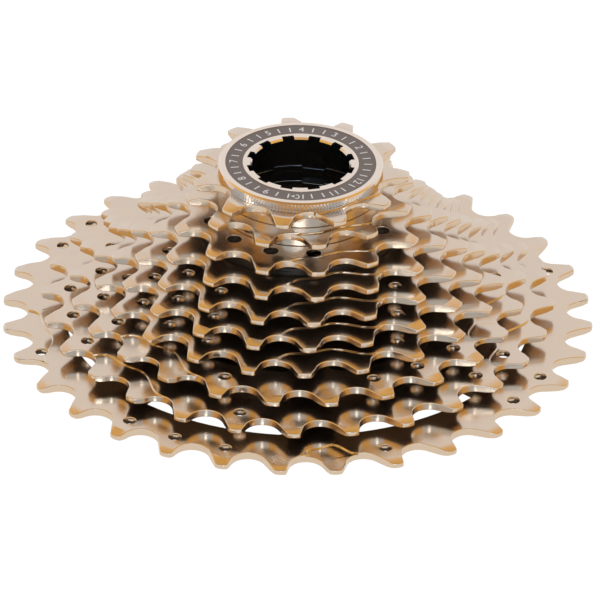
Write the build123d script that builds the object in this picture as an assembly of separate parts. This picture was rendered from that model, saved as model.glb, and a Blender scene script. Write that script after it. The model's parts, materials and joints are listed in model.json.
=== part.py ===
from build123d import *
import math
import os

# Ten-speed bicycle cassette, millimetres.  The axis of the hub is +Z.  The origin is the centre of
# the bore at the back face of the largest sprocket, and the lock ring is at the top.

# Chain standard
CHAIN_PITCH = 12.7
SEAT_RADIUS = 3.9

# Sprocket stack, from the largest sprocket up to the smallest
TOOTH_COUNTS = [32, 28, 25, 22, 20, 18, 16, 14, 12, 11]
SPROCKET_SPACING = 3.95
PLATE = 1.8
RIVETED_COUNT = 7

# Clocking of each sprocket: the angle of its first tooth from +X, in degrees
FIRST_TOOTH = {32: 8.0, 28: 12.1, 25: 4.6, 22: 10.6, 20: 4.0, 18: 15.7, 16: 7.6, 14: 21.7, 12: 10.2, 11: 30.5}

# Teeth.  The back flank is relieved, so that the tip leans forward.  The teeth on a shift ramp stand
# upright and are cut a little shorter.
FRONT_SEAT_ANGLE = 72
BACK_SEAT_ANGLE = 58
TIP_HEIGHT = {32: 1.95, 28: 1.3, 25: 1.0, 22: 1.7, 20: 1.5, 18: 1.3, 16: 1.15, 14: 1.15, 12: 1.3, 11: 1.8}
TIP_LEAN = {32: 0.8}
USUAL_TIP_LEAN = 0.6
TIP_HALF_WIDTH = {32: 1.35, 12: 1.6}
USUAL_TIP_HALF_WIDTH = 1.45
TIP_CROWN = {32: 0.4, 28: 0.35}
USUAL_TIP_CROWN = 0.15
RAMP_TIP_CUT = {32: 0.0}
USUAL_RAMP_TIP_CUT = 0.5

# Bevels that thin the teeth, measured from a circle just outside the tips
BEVEL_CLEARANCE = 0.4
OUTER_BEVEL_DEPTH = 0.5
OUTER_BEVEL_WIDTH = 3.0
INNER_BEVEL_DEPTH = 0.4
INNER_BEVEL_WIDTH = 2.0

# Shift ramps: recesses in the outer face.  Each starts in the gap after the numbered tooth.
RAMP_DEPTH = 0.35
RAMP_STARTS = {32: [15, 23, 31, 7], 28: [15, 24, 6], 25: [14, 22, 5], 22: [15, 4], 20: [14, 4],
               18: [12, 3], 16: [11, 3], 14: [9, 2], 12: [8], 11: [7]}
RAMP_TEETH = 2
SHORT_RAMPS = {32: [23, 7]}
# The inner edge of a ramp: fraction of its sweep, and depth below the pitch circle at its deepest
RAMP_EDGE = [(0.1, 0.8), (0.3, 0.86), (0.52, 1.0), (0.68, 0.86), (0.84, 0.56)]
RAMP_REACH = {32: 8.2, 28: 8.6, 25: 9.0, 22: 8.4, 20: 8.6, 18: 8.8, 16: 8.6, 14: 6.6, 12: 5.0, 11: 4.4}

# Lightening holes beneath the numbered teeth
HOLE_RADIUS = {32: 1.35, 14: 1.7}
USUAL_HOLE_RADIUS = 1.4
HOLE_DROP = {32: 4.5, 28: 5.3, 25: 6.2, 22: 5.9, 20: 6.0, 18: 6.4, 14: 7.3}
HOLES = {32: [1, 5, 9, 12, 13, 17, 20, 21, 22, 25, 28, 29], 28: [1, 4, 5, 10, 13, 14, 15, 19, 24, 25],
         25: [0, 3, 4, 9, 11, 12, 13, 14, 17, 20, 21, 22], 22: [1, 2, 3, 7, 11, 12, 13, 14, 18],
         20: [1, 2, 3, 7, 11, 12, 13, 17], 18: [0, 1, 2, 6, 9, 10, 11, 15],
         14: [0, 1, 2, 3, 4, 5, 6, 7, 8, 9, 10, 12, 13]}

# Windows between the arms of the three largest sprockets
WINDOW_COUNT = 7
WINDOW_SWEEP = 38.4
WINDOW_CENTRE = 249.0
WINDOW_INNER_RADIUS = {32: 43.0, 28: 27.5, 25: 27.5}
WINDOW_RIM_DROP = {32: 12.2, 28: 11.3, 25: 11.3}
WINDOW_CORNER = 2.0

# Splined bore: eight wide keys and one narrow one, which sets the clocking on the hub
BORE_RADIUS = 17.45
KEY_TIP_RADIUS = 16.35
KEY_COUNT = 9
KEY_WIDTH = 5.0
NARROW_KEY_WIDTH = 3.0
TOP_BORE_RADIUS = 16.6
TOP_KEY_TIP_RADIUS = 15.95

# Spacer rings of the riveted sprockets, and the collars of the two smallest
SPACER_OUTER_RADIUS = 22.8
SPACER_INNER_RADIUS = 17.6
SPACER_GROOVE = 0.4
COLLAR_OUTER_RADIUS = {12: 18.4, 11: 18.3}
COLLAR_EXTRA = {12: 0.7, 11: 0.4}
AXIAL_PLAY = 0.03

# Rivets
RIVET_COUNT = 3
RIVET_CIRCLE = 20.0
RIVET_RADIUS = 1.25
RIVET_CLEARANCE = 0.05
RIVET_HEAD_RADIUS = 1.8
RIVET_HEAD_HEIGHT = 0.8
RIVET_SINK_DEPTH = 0.9
RIVET_POCKET_CLEARANCE = 0.25

# Lock washer and lock ring
SERRATION_COUNT = 150
SERRATION_DEPTH = 0.3
WASHER_INNER_RADIUS = 15.8
WASHER_RADIUS = 18.2
WASHER_HEIGHT = 0.85
RING_RADIUS = 18.4
RING_TOP = 40.3
RING_BEVEL_HEIGHT = 0.3
RING_BEVEL_WIDTH = 0.45
RING_CORE_RADIUS = 17.8
RING_BAND_OUTER = 16.85
RING_BAND_INNER = 12.95
RING_BAND_DEPTH = 0.12
RING_LIP_CHAMFER = 0.4
RING_TUBE_BOTTOM = 33.0
RING_TUBE_INNER_RADIUS = 12.9
THREAD_RADIUS = 15.3
THREAD_PITCH = 1.058
THREAD_DEPTH = 0.55
THREAD_CREST = 0.13
SOCKET_LAND_RADIUS = 10.9
SOCKET_NOTCH_RADIUS = 12.1
SOCKET_NOTCHES = 12
SOCKET_NOTCH_WIDTH = 2.7
SOCKET_DEPTH = 2.2


def pitch_radius(teeth):
    return CHAIN_PITCH / 2 / math.sin(math.pi / teeth)


def back_face(teeth):
    """Height of a sprocket's back face: even steps, and the extra length of the collars beneath."""
    level = TOOTH_COUNTS.index(teeth)
    extra = sum(COLLAR_EXTRA.get(count, 0) for count in TOOTH_COUNTS[: level + 1])
    return SPROCKET_SPACING * level + extra


def flange_back():
    """Height of the lock ring's flange above the washer."""
    return back_face(TOOTH_COUNTS[-1]) + PLATE + WASHER_HEIGHT + 2 * AXIAL_PLAY


def polar(radius, degrees):
    turn = math.radians(degrees)
    return Vector(radius * math.cos(turn), radius * math.sin(turn), 0)


def tooth_angle(teeth, number):
    return FIRST_TOOTH[teeth] + 360 * number / teeth


def seat_point(teeth, gap_angle, seat_angle):
    """A point on the roller seat, seat_angle round from its bottom."""
    inward = -SEAT_RADIUS * math.cos(math.radians(seat_angle))
    along = SEAT_RADIUS * math.sin(math.radians(seat_angle))
    return polar(pitch_radius(teeth) + inward, gap_angle) + polar(along, gap_angle + 90)


def ramp_teeth(teeth):
    """The numbers of the teeth that stand on a shift ramp."""
    numbers = set()
    for start_tooth in RAMP_STARTS[teeth]:
        for number in range(swept_teeth(teeth, start_tooth)):
            numbers.add((start_tooth + 1 + number) % teeth)
    return numbers


def swept_teeth(teeth, start_tooth):
    return 1 if start_tooth in SHORT_RAMPS.get(teeth, []) else RAMP_TEETH


def tooth_tip(teeth, number):
    """Radius, lean and half width of one tooth's tip."""
    radius = pitch_radius(teeth) + TIP_HEIGHT[teeth]
    half_width = TIP_HALF_WIDTH.get(teeth, USUAL_TIP_HALF_WIDTH)
    if number in ramp_teeth(teeth):
        return radius - RAMP_TIP_CUT.get(teeth, USUAL_RAMP_TIP_CUT), 0, half_width
    return radius, TIP_LEAN.get(teeth, USUAL_TIP_LEAN), half_width


def tooth_outline(teeth):
    """The toothed outline: a roller seat and a tooth, repeated."""
    edges = []
    for number in range(teeth):
        radius, lean, half_width = tooth_tip(teeth, number)
        corner_radius = radius - TIP_CROWN.get(teeth, USUAL_TIP_CROWN)
        tip = tooth_angle(teeth, number) + math.degrees(lean / radius)
        half = math.degrees(half_width / radius)
        before = tooth_angle(teeth, number - 0.5)
        after = tooth_angle(teeth, number + 0.5)
        flank_foot = seat_point(teeth, before, BACK_SEAT_ANGLE)
        tip_start = polar(corner_radius, tip - half)
        tip_end = polar(corner_radius, tip + half)
        seat_start = seat_point(teeth, after, -FRONT_SEAT_ANGLE)
        seat_end = seat_point(teeth, after, BACK_SEAT_ANGLE)
        edges.append(Line(flank_foot, tip_start))
        edges.append(ThreePointArc(tip_start, polar(radius, tip), tip_end))
        edges.append(Line(tip_end, seat_start))
        edges.append(ThreePointArc(seat_start, seat_point(teeth, after, 0), seat_end))
    return make_face(Wire([edge.edge() for edge in edges]))


def spline_void(bore_radius, key_tip_radius):
    """The splined bore as a flat face: a circle with the keys left in."""
    void = Circle(bore_radius)
    for number in range(KEY_COUNT):
        width = NARROW_KEY_WIDTH if number == 0 else KEY_WIDTH
        key = Pos(bore_radius, 0) * Rectangle(2 * (bore_radius - key_tip_radius), width)
        void -= Rot(0, 0, 360 * number / KEY_COUNT) * key
    return void + Circle(key_tip_radius)


def sector(inner, outer, start, end):
    """A flat ring sector."""
    middle = (start + end) / 2
    edges = [
        Line(polar(inner, start), polar(outer, start)),
        ThreePointArc(polar(outer, start), polar(outer, middle), polar(outer, end)),
        Line(polar(outer, end), polar(inner, end)),
        ThreePointArc(polar(inner, end), polar(inner, middle), polar(inner, start)),
    ]
    return make_face(Wire([edge.edge() for edge in edges]))


def windows(teeth):
    outer = pitch_radius(teeth) - WINDOW_RIM_DROP[teeth]
    result = []
    for number in range(WINDOW_COUNT):
        centre = WINDOW_CENTRE + 360 * number / WINDOW_COUNT
        flat = sector(WINDOW_INNER_RADIUS[teeth], outer, centre - WINDOW_SWEEP / 2, centre + WINDOW_SWEEP / 2)
        result.append(fillet(flat.vertices(), WINDOW_CORNER))
    return result


def bevelled_blank(teeth, back):
    """A disc whose rim is bevelled on both faces, which thins the teeth towards their tips."""
    tip_radius = pitch_radius(teeth) + TIP_HEIGHT[teeth] + BEVEL_CLEARANCE
    top = back + PLATE
    section = Polyline(
        (0, back),
        (tip_radius - INNER_BEVEL_WIDTH, back),
        (tip_radius, back + INNER_BEVEL_DEPTH),
        (tip_radius, top - OUTER_BEVEL_DEPTH),
        (tip_radius - OUTER_BEVEL_WIDTH, top),
        (0, top),
        close=True,
    )
    return revolve(Plane.XZ * make_face(section), Axis.Z)


def ramp_recess(teeth, start_tooth, top):
    """The space that one shift ramp removes from the outer face."""
    start = tooth_angle(teeth, start_tooth + 0.5)
    sweep = 360 / teeth * swept_teeth(teeth, start_tooth)
    outer = pitch_radius(teeth) + 2 * SEAT_RADIUS
    root = pitch_radius(teeth) - SEAT_RADIUS
    reach = RAMP_REACH[teeth]
    inner_points = [polar(root, start)]
    for fraction, share in RAMP_EDGE:
        inner_points.append(polar(pitch_radius(teeth) - reach * share, start + sweep * fraction))
    inner_points.append(polar(root, start + sweep))
    edges = [
        Spline(inner_points),
        Line(polar(root, start + sweep), polar(outer, start + sweep)),
        ThreePointArc(polar(outer, start + sweep), polar(outer, start + sweep / 2), polar(outer, start)),
        Line(polar(outer, start), polar(root, start)),
    ]
    flat = make_face(Wire([edge.edge() for edge in edges]))
    return Pos(0, 0, top) * extrude(flat, RAMP_DEPTH, dir=(0, 0, -1))


def rivet_angles():
    return [WINDOW_CENTRE + 180 / WINDOW_COUNT + 360 * number / RIVET_COUNT for number in range(RIVET_COUNT)]


def rivet_circles(radius):
    return [Pos(*polar(RIVET_CIRCLE, angle)) * Circle(radius) for angle in rivet_angles()]


def sprocket(teeth):
    back = back_face(teeth)
    top = back + PLATE
    flat = tooth_outline(teeth)
    if teeth == min(TOOTH_COUNTS):
        flat -= spline_void(TOP_BORE_RADIUS, TOP_KEY_TIP_RADIUS)
    else:
        flat -= spline_void(BORE_RADIUS, KEY_TIP_RADIUS)
    if teeth in WINDOW_RIM_DROP:
        for window in windows(teeth):
            flat -= window
    if TOOTH_COUNTS.index(teeth) < RIVETED_COUNT:
        for circle in rivet_circles(RIVET_RADIUS + RIVET_CLEARANCE):
            flat -= circle
    for number in HOLES.get(teeth, []):
        centre = polar(pitch_radius(teeth) - HOLE_DROP[teeth], tooth_angle(teeth, number))
        flat -= Pos(*centre) * Circle(HOLE_RADIUS.get(teeth, USUAL_HOLE_RADIUS))
    body = Pos(0, 0, back) * extrude(flat, PLATE)
    body = body & bevelled_blank(teeth, back)
    for start_tooth in RAMP_STARTS[teeth]:
        body -= ramp_recess(teeth, start_tooth, top)
    return body


def collared_sprocket(teeth):
    """A small sprocket made in one piece with the collar that spaces it from the one behind."""
    height = SPROCKET_SPACING - PLATE - AXIAL_PLAY + COLLAR_EXTRA[teeth]
    collar = Circle(COLLAR_OUTER_RADIUS[teeth])
    if teeth == min(TOOTH_COUNTS):
        collar -= spline_void(TOP_BORE_RADIUS, TOP_KEY_TIP_RADIUS)
    else:
        collar -= spline_void(BORE_RADIUS, KEY_TIP_RADIUS)
    return sprocket(teeth) + Pos(0, 0, back_face(teeth)) * extrude(collar, height, dir=(0, 0, -1))


def sunk_largest_sprocket():
    """The largest sprocket, countersunk at the back for the rivets."""
    body = sprocket(max(TOOTH_COUNTS))
    clear = RIVET_CLEARANCE
    for angle in rivet_angles():
        cone = Cone(RIVET_HEAD_RADIUS + clear, RIVET_RADIUS + clear, RIVET_SINK_DEPTH)
        body -= Pos(*polar(RIVET_CIRCLE, angle)) * Pos(0, 0, RIVET_SINK_DEPTH / 2) * cone
    return body


def spacer(back, height, hole_radius):
    """A moulded ring between two sprockets, with a shallow groove round its waist."""
    ring = Circle(SPACER_OUTER_RADIUS) - Circle(SPACER_INNER_RADIUS)
    for circle in rivet_circles(hole_radius):
        ring -= circle
    body = Pos(0, 0, back) * extrude(ring, height)
    groove = Circle(SPACER_OUTER_RADIUS + SPACER_GROOVE) - Circle(SPACER_OUTER_RADIUS - SPACER_GROOVE)
    return body - Pos(0, 0, back + height / 3) * extrude(groove, height / 3)


def rivet(angle):
    head_base = SPROCKET_SPACING * (RIVETED_COUNT - 1) + PLATE
    section = Polyline(
        (0, 0),
        (RIVET_HEAD_RADIUS, 0),
        (RIVET_RADIUS, RIVET_SINK_DEPTH),
        (RIVET_RADIUS, head_base),
        (RIVET_HEAD_RADIUS, head_base),
        (RIVET_HEAD_RADIUS, head_base + RIVET_HEAD_HEIGHT / 2),
        (RIVET_RADIUS, head_base + RIVET_HEAD_HEIGHT),
        (0, head_base + RIVET_HEAD_HEIGHT),
        close=True,
    )
    return Pos(*polar(RIVET_CIRCLE, angle)) * revolve(Plane.XZ * make_face(section), Axis.Z)


def serrated_face(radius, phase):
    """A flat disc with a fine saw edge."""
    points = []
    for number in range(SERRATION_COUNT):
        turn = 360 * (number + phase) / SERRATION_COUNT
        points.append(polar(radius - SERRATION_DEPTH, turn))
        points.append(polar(radius, turn + 180 / SERRATION_COUNT))
    return make_face(Polyline(points, close=True))


def lock_washer():
    flat = serrated_face(WASHER_RADIUS, 0) - Circle(WASHER_INNER_RADIUS)
    back = flange_back() - AXIAL_PLAY - WASHER_HEIGHT
    return Pos(0, 0, back) * extrude(flat, WASHER_HEIGHT)


def ring_section():
    """Half section of the lock ring's turned shape, without its serrations and tool socket."""
    flange = flange_back()
    bevel_foot = RING_TOP - RING_BEVEL_HEIGHT
    band = RING_TOP - RING_BAND_DEPTH
    root = THREAD_RADIUS - THREAD_DEPTH
    points = [
        (SOCKET_LAND_RADIUS, RING_TOP - RING_LIP_CHAMFER),
        (SOCKET_LAND_RADIUS + RING_LIP_CHAMFER, RING_TOP),
        (RING_BAND_INNER, RING_TOP),
        (RING_BAND_INNER, band),
        (RING_BAND_OUTER, band),
        (RING_BAND_OUTER, RING_TOP),
        (RING_RADIUS - RING_BEVEL_WIDTH, RING_TOP),
        (RING_RADIUS, bevel_foot),
        (RING_CORE_RADIUS, bevel_foot),
        (RING_CORE_RADIUS, flange),
        (root, flange),
    ]
    for number in range(int((flange - RING_TUBE_BOTTOM) / THREAD_PITCH)):
        top = flange - number * THREAD_PITCH
        points.append((THREAD_RADIUS, top - (THREAD_PITCH - THREAD_CREST) / 2))
        points.append((THREAD_RADIUS, top - (THREAD_PITCH + THREAD_CREST) / 2))
        points.append((root, top - THREAD_PITCH))
    points.append((root, RING_TUBE_BOTTOM))
    points.append((RING_TUBE_INNER_RADIUS, RING_TUBE_BOTTOM))
    points.append((RING_TUBE_INNER_RADIUS, RING_TOP - SOCKET_DEPTH))
    points.append((SOCKET_LAND_RADIUS, RING_TOP - SOCKET_DEPTH))
    return make_face(Polyline(points, close=True))


def lock_ring():
    """The threaded ring: a turned tube and flange, a serrated rim and a notched tool socket."""
    body = revolve(Plane.XZ * ring_section(), Axis.Z)
    notch = Rectangle(2 * SOCKET_NOTCH_RADIUS, SOCKET_NOTCH_WIDTH)
    for number in range(SOCKET_NOTCHES // 2):
        cut = Pos(0, 0, RING_TOP - SOCKET_DEPTH) * extrude(notch, SOCKET_DEPTH)
        body -= Rot(0, 0, 360 * (number + 0.5) / SOCKET_NOTCHES) * cut
    rim = serrated_face(RING_RADIUS, 0.5) - Circle(RING_CORE_RADIUS - SERRATION_DEPTH)
    rim_height = RING_TOP - RING_BEVEL_HEIGHT - flange_back()
    return body + Pos(0, 0, flange_back()) * extrude(rim, rim_height)


def build_parts():
    parts = {}
    for teeth in TOOTH_COUNTS:
        name = f"sprocket_{teeth}t"
        if teeth == max(TOOTH_COUNTS):
            parts[name] = sunk_largest_sprocket()
        elif teeth in COLLAR_OUTER_RADIUS:
            parts[name] = collared_sprocket(teeth)
        else:
            parts[name] = sprocket(teeth)
    for number in range(RIVETED_COUNT):
        larger, smaller = TOOTH_COUNTS[number], TOOTH_COUNTS[number + 1]
        last = number == RIVETED_COUNT - 1
        play = AXIAL_PLAY if last else 0
        hole = RIVET_HEAD_RADIUS + RIVET_POCKET_CLEARANCE if last else RIVET_RADIUS + RIVET_CLEARANCE
        height = SPROCKET_SPACING - PLATE - play
        parts[f"spacer_{larger}_{smaller}"] = spacer(back_face(larger) + PLATE + play, height, hole)
    for number, angle in enumerate(rivet_angles()):
        parts[f"rivet_{number + 1}"] = rivet(angle)
    parts["lock_washer"] = lock_washer()
    parts["lock_ring"] = lock_ring()
    return parts


os.makedirs("parts", exist_ok=True)
for node, shape in build_parts().items():
    shape.label = node
    export_step(shape, f"parts/{node}.step")
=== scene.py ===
import bpy
import json
import math
from mathutils import Matrix, Vector


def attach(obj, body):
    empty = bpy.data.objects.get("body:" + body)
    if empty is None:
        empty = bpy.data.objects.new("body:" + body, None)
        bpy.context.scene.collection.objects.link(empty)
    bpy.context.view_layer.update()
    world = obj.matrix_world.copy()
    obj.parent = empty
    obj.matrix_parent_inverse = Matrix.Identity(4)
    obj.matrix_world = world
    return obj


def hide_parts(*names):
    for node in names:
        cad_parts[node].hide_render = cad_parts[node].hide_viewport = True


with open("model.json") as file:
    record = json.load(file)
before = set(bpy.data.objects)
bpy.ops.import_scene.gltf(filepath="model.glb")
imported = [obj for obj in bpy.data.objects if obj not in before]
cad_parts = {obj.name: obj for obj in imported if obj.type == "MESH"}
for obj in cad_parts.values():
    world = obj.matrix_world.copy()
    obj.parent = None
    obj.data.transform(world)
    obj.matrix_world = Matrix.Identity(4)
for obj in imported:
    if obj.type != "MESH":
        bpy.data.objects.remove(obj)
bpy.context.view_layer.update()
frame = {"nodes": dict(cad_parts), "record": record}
nodes = frame["nodes"]

# ---------------------------------------------------------------- camera
CAMERA_ELEVATION = math.radians(31.30)
CAMERA_ROLL = math.radians(1.27)
CAMERA_DISTANCE = 1.3599
CAMERA_LENS = 360.4
CAMERA_RIGHT = 0.0005
CAMERA_UP = 0.00375
SENSOR_WIDTH = 36
CLIP_RANGE = (0.1, 20)


def make_camera():
    data = bpy.data.cameras.new("camera")
    camera = bpy.data.objects.new("camera", data)
    bpy.context.scene.collection.objects.link(camera)
    tilt = Matrix.Rotation(math.pi / 2 - CAMERA_ELEVATION, 4, "X")
    place = Matrix.Translation(Vector((CAMERA_RIGHT, CAMERA_UP, CAMERA_DISTANCE)))
    camera.matrix_world = tilt @ place @ Matrix.Rotation(CAMERA_ROLL, 4, "Z")
    data.sensor_width = SENSOR_WIDTH
    data.lens = CAMERA_LENS
    data.clip_start, data.clip_end = CLIP_RANGE
    bpy.context.scene.camera = camera


make_camera()


# ---------------------------------------------------------------- node helpers
def new_material(name):
    material = bpy.data.materials.new(name)
    material.use_nodes = True
    tree = material.node_tree
    shader = tree.nodes["Principled BSDF"]
    return material, tree, shader


def add_group(tree, group, **values):
    node = tree.nodes.new("ShaderNodeGroup")
    node.node_tree = group
    for name, value in values.items():
        node.inputs[name.replace("_", " ")].default_value = value
    return node


def new_group(name, inputs, outputs):
    group = bpy.data.node_groups.new(name, "ShaderNodeTree")
    for label, kind, value in inputs:
        socket = group.interface.new_socket(name=label, in_out="INPUT", socket_type=kind)
        socket.default_value = value
    for label, kind in outputs:
        group.interface.new_socket(name=label, in_out="OUTPUT", socket_type=kind)
    entry = group.nodes.new("NodeGroupInput")
    leave = group.nodes.new("NodeGroupOutput")
    return group, entry, leave


def math_node(tree, operation, first, second=None, clamp=False):
    node = tree.nodes.new("ShaderNodeMath")
    node.operation = operation
    node.use_clamp = clamp
    for slot, value in enumerate((first, second)):
        if value is None:
            continue
        if isinstance(value, (int, float)):
            node.inputs[slot].default_value = value
        else:
            tree.links.new(value, node.inputs[slot])
    return node.outputs[0]


def noise(tree, vector, scale, detail=4.0, roughness=0.55):
    node = tree.nodes.new("ShaderNodeTexNoise")
    node.inputs["Scale"].default_value = scale
    node.inputs["Detail"].default_value = detail
    node.inputs["Roughness"].default_value = roughness
    tree.links.new(vector, node.inputs["Vector"])
    return node.outputs["Fac"]


def remap(tree, value, low, high, to_low, to_high):
    node = tree.nodes.new("ShaderNodeMapRange")
    node.inputs["From Min"].default_value = low
    node.inputs["From Max"].default_value = high
    node.inputs["To Min"].default_value = to_low
    node.inputs["To Max"].default_value = to_high
    tree.links.new(value, node.inputs["Value"])
    return node.outputs["Result"]


def mix_colour(tree, factor, first, second):
    node = tree.nodes.new("ShaderNodeMix")
    node.data_type = "RGBA"
    for label, value in (("Factor", factor), ("A", first), ("B", second)):
        socket = node.inputs[label]
        if isinstance(value, (int, float)):
            socket.default_value = value
        elif isinstance(value, tuple):
            socket.default_value = (*value, 1.0)
        else:
            tree.links.new(value, socket)
    return node.outputs["Result"]


# ---------------------------------------------------------------- shared effects
PATCH_SCALE = 90.0
GRAIN_SCALE = 2600.0
SCRATCH_TURN = 0.6
SCRATCH_SCALE = (60.0, 1500.0, 400.0)
SCRATCH_RANGE = (0.62, 0.72)
SCRATCH_ROUGHNESS = 0.12
SCRATCH_DEPTH = 0.6
SWING_GAIN = 4.0


def make_surface_grain():
    """Fine satin grain, wide soft patches and handling scratches, on object coordinates."""
    inputs = [("Roughness", "NodeSocketFloat", 0.25), ("Variation", "NodeSocketFloat", 0.06),
              ("Scratches", "NodeSocketFloat", 0.3)]
    outputs = [("Roughness", "NodeSocketFloat"), ("Height", "NodeSocketFloat"),
               ("Patch", "NodeSocketFloat")]
    group, entry, leave = new_group("surface_grain", inputs, outputs)
    place = group.nodes.new("ShaderNodeTexCoord").outputs["Object"]
    patch = noise(group, place, PATCH_SCALE, detail=3.0)
    fine = noise(group, place, GRAIN_SCALE, detail=2.0)
    swing = math_node(group, "SUBTRACT", patch, 0.5)
    swing = math_node(group, "MULTIPLY", swing, entry.outputs["Variation"])
    swing = math_node(group, "MULTIPLY", swing, SWING_GAIN)
    stretch = group.nodes.new("ShaderNodeMapping")
    stretch.inputs["Rotation"].default_value = (0.0, 0.0, SCRATCH_TURN)
    stretch.inputs["Scale"].default_value = SCRATCH_SCALE
    group.links.new(place, stretch.inputs["Vector"])
    scratch = noise(group, stretch.outputs["Vector"], 1.0, detail=2.0)
    scratch = remap(group, scratch, *SCRATCH_RANGE, 0.0, 1.0)
    scratch = math_node(group, "MULTIPLY", scratch, entry.outputs["Scratches"])
    total = math_node(group, "ADD", entry.outputs["Roughness"], swing)
    rubbed = math_node(group, "MULTIPLY", scratch, SCRATCH_ROUGHNESS)
    total = math_node(group, "ADD", total, rubbed, clamp=True)
    group.links.new(total, leave.inputs["Roughness"])
    height = math_node(group, "SUBTRACT", fine, math_node(group, "MULTIPLY", scratch, SCRATCH_DEPTH))
    group.links.new(height, leave.inputs["Height"])
    group.links.new(patch, leave.inputs["Patch"])
    return group


def make_turn_mask():
    """How far a surface turns away from lying flat: 0 on flats, 1 on edges and walls."""
    inputs = [("Start", "NodeSocketFloat", 0.02), ("Full", "NodeSocketFloat", 0.12)]
    group, entry, leave = new_group("turn_mask", inputs, [("Mask", "NodeSocketFloat")])
    normal = group.nodes.new("ShaderNodeTexCoord").outputs["Normal"]
    split = group.nodes.new("ShaderNodeSeparateXYZ")
    group.links.new(normal, split.inputs[0])
    flat = math_node(group, "ABSOLUTE", split.outputs["Z"])
    turned = math_node(group, "SUBTRACT", 1.0, flat)
    ramp = group.nodes.new("ShaderNodeMapRange")
    group.links.new(turned, ramp.inputs["Value"])
    group.links.new(entry.outputs["Start"], ramp.inputs["From Min"])
    group.links.new(entry.outputs["Full"], ramp.inputs["From Max"])
    group.links.new(ramp.outputs["Result"], leave.inputs["Mask"])
    return group


def make_ring_zone():
    """1 between two radii from the hub's axis and above a height, else 0."""
    inputs = [("Inner", "NodeSocketFloat", 0.0), ("Outer", "NodeSocketFloat", 1.0),
              ("Floor", "NodeSocketFloat", 0.0)]
    group, entry, leave = new_group("ring_zone", inputs, [("Mask", "NodeSocketFloat")])
    split = group.nodes.new("ShaderNodeSeparateXYZ")
    group.links.new(group.nodes.new("ShaderNodeTexCoord").outputs["Object"], split.inputs[0])
    radius = math_node(group, "SQRT", math_node(
        group, "ADD",
        math_node(group, "MULTIPLY", split.outputs["X"], split.outputs["X"]),
        math_node(group, "MULTIPLY", split.outputs["Y"], split.outputs["Y"])))
    outside = math_node(group, "GREATER_THAN", radius, entry.outputs["Inner"])
    inside = math_node(group, "LESS_THAN", radius, entry.outputs["Outer"])
    above = math_node(group, "GREATER_THAN", split.outputs["Z"], entry.outputs["Floor"])
    mask = math_node(group, "MULTIPLY", math_node(group, "MULTIPLY", outside, inside), above)
    group.links.new(mask, leave.inputs["Mask"])
    return group


surface_grain = make_surface_grain()
turn_mask = make_turn_mask()
ring_zone = make_ring_zone()


def add_bump(tree, shader, height, strength, distance):
    bump = tree.nodes.new("ShaderNodeBump")
    bump.inputs["Strength"].default_value = strength
    bump.inputs["Distance"].default_value = distance
    tree.links.new(height, bump.inputs["Height"])
    tree.links.new(bump.outputs["Normal"], shader.inputs["Normal"])


# ---------------------------------------------------------------- materials
# Zones of the lock ring and the bore, in metres from the axis and up it
BORE_RADIUS = 0.0176
TUBE_RADIUS = 0.0158
BAND_INNER = 0.01296
BAND_OUTER = 0.01684
BAND_FLOOR = 0.0401
LIP_FLOOR = 0.0398
ANYWHERE = -1.0

NICKEL_DARK = (0.66, 0.575, 0.5)
NICKEL_LIGHT = (0.72, 0.63, 0.55)
# Painted sheen: the lighter colour given to edges and walls
EDGE_PAINTED_SHEEN = (0.74, 0.66, 0.57)
# Painted shade for the bore and the lock ring's tube, tinted blue-grey as painted glints
BORE_PAINTED_SHADE = (0.3, 0.34, 0.4)
BAND_GREY = (0.147, 0.119, 0.117)
BAND_ROUGHNESS = 0.25
PRINT_WHITE = (0.82, 0.8, 0.78)


def plated_steel():
    """Satin nickel plate, lighter on the cut edges and walls as painted sheen, and dark with painted
    shade in the splined bore.
    """
    material, tree, shader = new_material("plated_steel")
    grain = add_group(tree, surface_grain, Roughness=0.19, Variation=0.04, Scratches=0.3)
    turned = add_group(tree, turn_mask, Start=0.006, Full=0.05)
    flat = mix_colour(tree, grain.outputs["Patch"], NICKEL_DARK, NICKEL_LIGHT)
    # Painted sheen: surfaces turned away from flat, the edges and walls, take the lighter colour
    colour = mix_colour(tree, turned.outputs["Mask"], flat, EDGE_PAINTED_SHEEN)
    # Painted shade in the splined bore
    bore = add_group(tree, ring_zone, Inner=0.0, Outer=BORE_RADIUS, Floor=ANYWHERE)
    colour = mix_colour(tree, bore.outputs["Mask"], colour, BORE_PAINTED_SHADE)
    tree.links.new(colour, shader.inputs["Base Color"])
    tree.links.new(grain.outputs["Roughness"], shader.inputs["Roughness"])
    shader.inputs["Metallic"].default_value = 1.0
    add_bump(tree, shader, grain.outputs["Height"], 0.12, 0.00002)
    return material


def black_resin():
    material, tree, shader = new_material("black_resin")
    grain = add_group(tree, surface_grain, Roughness=0.42, Variation=0.08, Scratches=0.1)
    colour = mix_colour(tree, grain.outputs["Patch"], (0.008, 0.008, 0.009), (0.02, 0.019, 0.018))
    tree.links.new(colour, shader.inputs["Base Color"])
    tree.links.new(grain.outputs["Roughness"], shader.inputs["Roughness"])
    add_bump(tree, shader, grain.outputs["Height"], 0.3, 0.00005)
    return material


def rivet_steel():
    material, tree, shader = new_material("rivet_steel")
    grain = add_group(tree, surface_grain, Roughness=0.3, Variation=0.06, Scratches=0.5)
    tree.links.new(grain.outputs["Roughness"], shader.inputs["Roughness"])
    colour = mix_colour(tree, grain.outputs["Patch"], (0.5, 0.48, 0.46), (0.62, 0.6, 0.57))
    tree.links.new(colour, shader.inputs["Base Color"])
    shader.inputs["Metallic"].default_value = 1.0
    add_bump(tree, shader, grain.outputs["Height"], 0.2, 0.00003)
    return material


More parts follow.
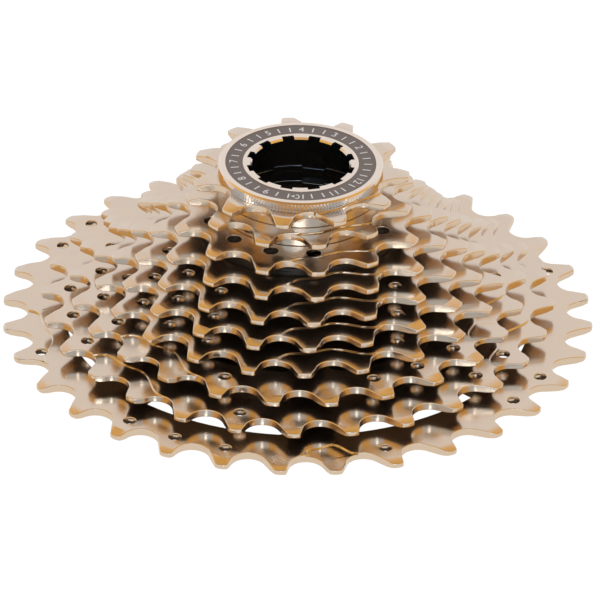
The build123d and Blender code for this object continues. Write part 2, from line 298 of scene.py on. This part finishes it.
def ring_steel():
    """Bright plate with a dark printed band, and painted shade on the tube below the tool socket."""
    material, tree, shader = new_material("ring_steel")
    grain = add_group(tree, surface_grain, Roughness=0.16, Variation=0.04, Scratches=0.4)
    band = add_group(tree, ring_zone, Inner=BAND_INNER, Outer=BAND_OUTER, Floor=BAND_FLOOR)
    tube = add_group(tree, ring_zone, Inner=0.0, Outer=TUBE_RADIUS, Floor=0.0)
    top = add_group(tree, ring_zone, Inner=0.0, Outer=1.0, Floor=LIP_FLOOR)
    plate = mix_colour(tree, grain.outputs["Patch"], (0.76, 0.68, 0.62), (0.82, 0.74, 0.68))
    below_lip = math_node(tree, "SUBTRACT", 1.0, top.outputs["Mask"])
    # Painted shade on the tube below the bright lip
    inner = math_node(tree, "MULTIPLY", tube.outputs["Mask"], below_lip)
    plate = mix_colour(tree, inner, plate, BORE_PAINTED_SHADE)
    colour = mix_colour(tree, band.outputs["Mask"], plate, BAND_GREY)
    tree.links.new(colour, shader.inputs["Base Color"])
    bare = math_node(tree, "SUBTRACT", 1.0, band.outputs["Mask"])
    tree.links.new(bare, shader.inputs["Metallic"])
    duller = math_node(tree, "MULTIPLY", band.outputs["Mask"], BAND_ROUGHNESS)
    rough = math_node(tree, "ADD", grain.outputs["Roughness"], duller)
    tree.links.new(rough, shader.inputs["Roughness"])
    add_bump(tree, shader, grain.outputs["Height"], 0.1, 0.00002)
    return material


def white_print():
    material, tree, shader = new_material("white_print")
    grain = add_group(tree, surface_grain, Roughness=0.5, Variation=0.08, Scratches=0.2)
    colour = mix_colour(tree, grain.outputs["Patch"], (0.72, 0.7, 0.68), PRINT_WHITE)
    tree.links.new(colour, shader.inputs["Base Color"])
    tree.links.new(grain.outputs["Roughness"], shader.inputs["Roughness"])
    add_bump(tree, shader, grain.outputs["Height"], 0.1, 0.00001)
    return material


MATERIALS = {
    "plated_steel": plated_steel(),
    "black_resin": black_resin(),
    "rivet_steel": rivet_steel(),
    "ring_steel": ring_steel(),
}
printed = white_print()


# ---------------------------------------------------------------- carried-over pieces
def body_of(node):
    for body, members in frame["record"]["behaviour"]["bodies"].items():
        if node in members:
            return body
    raise ValueError(node)


def take_only(piece):
    bpy.ops.object.select_all(action="DESELECT")
    piece.select_set(True)
    bpy.context.view_layer.objects.active = piece


def dress_node(name, material):
    mesh = nodes[name].data
    mesh.materials.clear()
    mesh.materials.append(material)


slots = {part["node"]: part["material_slot"] for part in frame["record"]["subparts"]}
for name, slot in slots.items():
    dress_node(name, MATERIALS[slot])


# ---------------------------------------------------------------- rounded sprockets
EDGE_WIDTH = 0.00018
EDGE_SEGMENTS = 2
EDGE_ANGLE = math.radians(32)
SMOOTH_ANGLE = math.radians(50)
FLAT_ANGLE = math.radians(1)
MERGE_DISTANCE = 1e-4
# Its flats fill cleanly only as triangles
TRIANGULATED = ("sprocket_11t",)
FLAT_FACE = 0.9995
BEVEL_FACE = (0.96, 0.997)


def crease_facets(piece):
    """Keep the crease sharp between each flat and the shallow bevel beside it."""
    beside = {}
    for face in piece.data.polygons:
        for key in face.edge_keys:
            beside.setdefault(key, []).append(abs(face.normal.z))
    bpy.ops.object.mode_set(mode="EDIT")
    bpy.ops.mesh.select_mode(type="EDGE")
    bpy.ops.mesh.select_all(action="DESELECT")
    bpy.ops.object.mode_set(mode="OBJECT")
    for edge in piece.data.edges:
        low, high = min(beside[edge.key]), max(beside[edge.key])
        edge.select = high > FLAT_FACE and BEVEL_FACE[0] < low < BEVEL_FACE[1]
    bpy.ops.object.mode_set(mode="EDIT")
    bpy.ops.mesh.mark_sharp()
    bpy.ops.object.mode_set(mode="OBJECT")


def rounded_sprocket(name):
    """The stamped sprocket with its edges broken, as tumbling and plating leave them."""
    mesh = nodes[name].data.copy()
    piece = bpy.data.objects.new(name.replace("sprocket", "toothed_plate"), mesh)
    bpy.context.scene.collection.objects.link(piece)
    take_only(piece)
    bpy.ops.object.mode_set(mode="EDIT")
    bpy.ops.mesh.select_all(action="SELECT")
    bpy.ops.mesh.remove_doubles(threshold=MERGE_DISTANCE)
    bpy.ops.mesh.dissolve_limited(angle_limit=FLAT_ANGLE)
    if name in TRIANGULATED:
        bpy.ops.mesh.quads_convert_to_tris(quad_method="BEAUTY", ngon_method="BEAUTY")
    bpy.ops.object.mode_set(mode="OBJECT")
    bevel = piece.modifiers.new("edges", "BEVEL")
    bevel.width = EDGE_WIDTH
    bevel.segments = EDGE_SEGMENTS
    bevel.limit_method = "ANGLE"
    bevel.angle_limit = EDGE_ANGLE
    bevel.use_clamp_overlap = False
    bevel.miter_outer = "MITER_SHARP"
    bpy.ops.object.modifier_apply(modifier=bevel.name)
    bpy.ops.object.shade_smooth_by_angle(angle=SMOOTH_ANGLE)
    crease_facets(piece)
    weigh = piece.modifiers.new("flat faces stay flat", "WEIGHTED_NORMAL")
    weigh.keep_sharp = True
    bpy.ops.object.modifier_apply(modifier=weigh.name)
    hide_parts(name)
    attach(piece, body_of(name))


for name in slots:
    if name.startswith("sprocket"):
        rounded_sprocket(name)


# ---------------------------------------------------------------- print on the lock ring
BAND_MIDDLE = 0.0149
BAND_TOP = 0.04018
PRINT_HEIGHT = 0.00003
TICK_LENGTH = 0.0018
TICK_WIDTH = 0.0003
DIGIT_SIZE = 0.0027
MARK_COUNT = 36
MARKS_PER_NUMBER = 3
ARROW_ANGLE = 265
ARROW_RADIUS = 0.0008


def ring_place(degrees, radius):
    """Where a mark stands on the band: its foot towards the axis, turned with the ring."""
    turn = math.radians(degrees)
    spot = Vector((radius * math.cos(turn), radius * math.sin(turn), BAND_TOP))
    return Matrix.Translation(spot) @ Matrix.Rotation(turn - math.pi / 2, 4, "Z")


def finish_mark(piece, degrees, radius):
    take_only(piece)
    piece.matrix_world = ring_place(degrees, radius)
    bpy.ops.object.transform_apply(location=True, rotation=True, scale=True)
    piece.data.materials.clear()
    piece.data.materials.append(printed)
    return piece


def tick(degrees, length):
    bpy.ops.object.select_all(action="DESELECT")
    bpy.ops.mesh.primitive_cube_add(size=1)
    piece = bpy.context.object
    bpy.ops.transform.resize(value=(TICK_WIDTH, length, PRINT_HEIGHT))
    bpy.ops.object.transform_apply(location=False, rotation=False, scale=True)
    return finish_mark(piece, degrees, BAND_MIDDLE)


def number(text, degrees):
    bpy.ops.object.select_all(action="DESELECT")
    bpy.ops.object.text_add()
    piece = bpy.context.object
    piece.data.body = text
    piece.data.size = DIGIT_SIZE
    piece.data.align_x = "CENTER"
    piece.data.align_y = "CENTER"
    piece.data.extrude = PRINT_HEIGHT / 2
    piece.data.resolution_u = 3
    bpy.ops.object.convert(target="MESH")
    return finish_mark(bpy.context.object, degrees, BAND_MIDDLE)


def arrow(degrees):
    bpy.ops.object.select_all(action="DESELECT")
    bpy.ops.mesh.primitive_cylinder_add(vertices=3, radius=ARROW_RADIUS, depth=PRINT_HEIGHT)
    piece = bpy.context.object
    bpy.ops.transform.rotate(value=math.radians(90), orient_axis="Z", center_override=(0, 0, 0))
    bpy.ops.object.transform_apply(location=False, rotation=True, scale=True)
    return finish_mark(piece, degrees, BAND_MIDDLE)


def ring_print():
    """Generic dial marks round the band: numbers, ticks between them and one arrow."""
    marks = []
    for place in range(MARK_COUNT):
        degrees = 360 / MARK_COUNT * place
        if place % MARKS_PER_NUMBER == 0:
            marks.append(number(str(place // MARKS_PER_NUMBER + 1), degrees))
        else:
            marks.append(tick(degrees, TICK_LENGTH))
    marks.append(arrow(ARROW_ANGLE))
    bpy.ops.object.select_all(action="DESELECT")
    for mark in marks:
        mark.select_set(True)
    bpy.context.view_layer.objects.active = marks[0]
    bpy.ops.object.join()
    piece = bpy.context.object
    piece.name = "ring_print"
    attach(piece, "ring")


ring_print()


# ---------------------------------------------------------------- stage
FLOOR_SIZE = 8
FLOOR_DROP = 0.0002
FLOOR_WHITE = (1.0, 1.0, 1.0)
FLOOR_SHADE = (0.05, 0.03, 0.015)
FLOOR_PALE = (0.85, 0.74, 0.62)
SHADE_RADIUS = 0.0605


def make_floor():
    """A white table that glows.  Reflections see it glow pale, and see a painted shadow under the
    object.
    """
    bpy.ops.object.select_all(action="DESELECT")
    bpy.ops.mesh.primitive_plane_add(size=FLOOR_SIZE, location=(0, 0, -FLOOR_DROP))
    floor = bpy.context.object
    floor.name = "floor"
    material, tree, shader = new_material("white_table")
    path = tree.nodes.new("ShaderNodeLightPath")
    under = add_group(tree, ring_zone, Inner=0.0, Outer=SHADE_RADIUS, Floor=ANYWHERE)
    grain = add_group(tree, surface_grain, Roughness=0.85, Variation=0.05, Scratches=0.1)
    # Painted shadow: reflections see the table dark under the object; elsewhere it glows pale
    seen = mix_colour(tree, under.outputs["Mask"], FLOOR_PALE, FLOOR_SHADE)
    colour = mix_colour(tree, path.outputs["Is Camera Ray"], seen, FLOOR_WHITE)
    shader.inputs["Base Color"].default_value = (0.05, 0.05, 0.05, 1)
    shader.inputs["Specular IOR Level"].default_value = 0.0
    shader.inputs["Emission Strength"].default_value = 1.0
    tree.links.new(colour, shader.inputs["Emission Color"])
    tree.links.new(grain.outputs["Roughness"], shader.inputs["Roughness"])
    floor.data.materials.append(material)


WHITE = (0.95, 0.92, 0.9, 1)
FRONT_WINDOW = (0.72, 0.86, 1.0)
GOLD = (0.95, 0.55, 0.15, 1)
BROWN = (0.45, 0.24, 0.07, 1)


BACK_WALL = [(0.0, WHITE), (0.56, WHITE), (0.66, GOLD), (1.0, BROWN)]
FRONT_WALL = [(0.0, BROWN), (0.35, GOLD), (0.8, GOLD), (1.0, BROWN)]


def colour_stops(tree, factor, stops):
    ramp = tree.nodes.new("ShaderNodeValToRGB")
    tree.links.new(factor, ramp.inputs["Fac"])
    elements = ramp.color_ramp.elements
    while len(elements) < len(stops):
        elements.new(0.5)
    for element, (position, colour) in zip(elements, stops):
        element.position = position
        element.color = colour
    return ramp.outputs["Color"]


def make_world():
    """A studio: white wall behind, timber ceiling, warm room in front with a window in it.

    Only reflections see its colours; everything else gets an even white fill.
    """
    world = bpy.data.worlds.new("studio")
    bpy.context.scene.world = world
    world.use_nodes = True
    tree = world.node_tree
    tree.nodes.clear()
    direction = tree.nodes.new("ShaderNodeTexCoord").outputs["Generated"]
    split = tree.nodes.new("ShaderNodeSeparateXYZ")
    tree.links.new(direction, split.inputs[0])
    back = colour_stops(tree, split.outputs["Z"], BACK_WALL)
    front = colour_stops(tree, split.outputs["Z"], FRONT_WALL)
    share = remap(tree, split.outputs["Y"], 0.15, 0.6, 0.0, 1.0)
    room = mix_colour(tree, share, front, back)
    ahead = remap(tree, split.outputs["Y"], -0.5, -0.74, 0.0, 1.0)
    room = mix_colour(tree, ahead, room, FRONT_WINDOW)
    sky = tree.nodes.new("ShaderNodeBackground")
    tree.links.new(room, sky.inputs["Color"])
    fill = tree.nodes.new("ShaderNodeBackground")
    fill.inputs["Strength"].default_value = 1.0
    path = tree.nodes.new("ShaderNodeLightPath")
    choose = tree.nodes.new("ShaderNodeMixShader")
    tree.links.new(path.outputs["Is Glossy Ray"], choose.inputs["Fac"])
    tree.links.new(fill.outputs[0], choose.inputs[1])
    tree.links.new(sky.outputs[0], choose.inputs[2])
    leave = tree.nodes.new("ShaderNodeOutputWorld")
    tree.links.new(choose.outputs[0], leave.inputs["Surface"])


def add_softbox(name, azimuth, elevation, distance, width, height, radiance):
    """An area light facing the object, as bright as a white sky times radiance."""
    turn, rise = math.radians(azimuth), math.radians(elevation)
    away = Vector((math.sin(turn) * math.cos(rise), -math.cos(turn) * math.cos(rise), math.sin(rise)))
    data = bpy.data.lights.new(name, "AREA")
    data.shape = "RECTANGLE"
    data.size = width
    data.size_y = height
    data.energy = radiance * width * height * math.pi
    lamp = bpy.data.objects.new(name, data)
    bpy.context.scene.collection.objects.link(lamp)
    lamp.location = away * distance
    lamp.rotation_mode = "QUATERNION"
    lamp.rotation_quaternion = (-away).to_track_quat("-Z", "Y")


make_floor()
make_world()
add_softbox("softbox_front", azimuth=0, elevation=36, distance=1.7, width=0.3, height=0.25, radiance=5.0)

scene = bpy.context.scene
scene.view_settings.view_transform = "Standard"
scene.view_settings.look = "None"
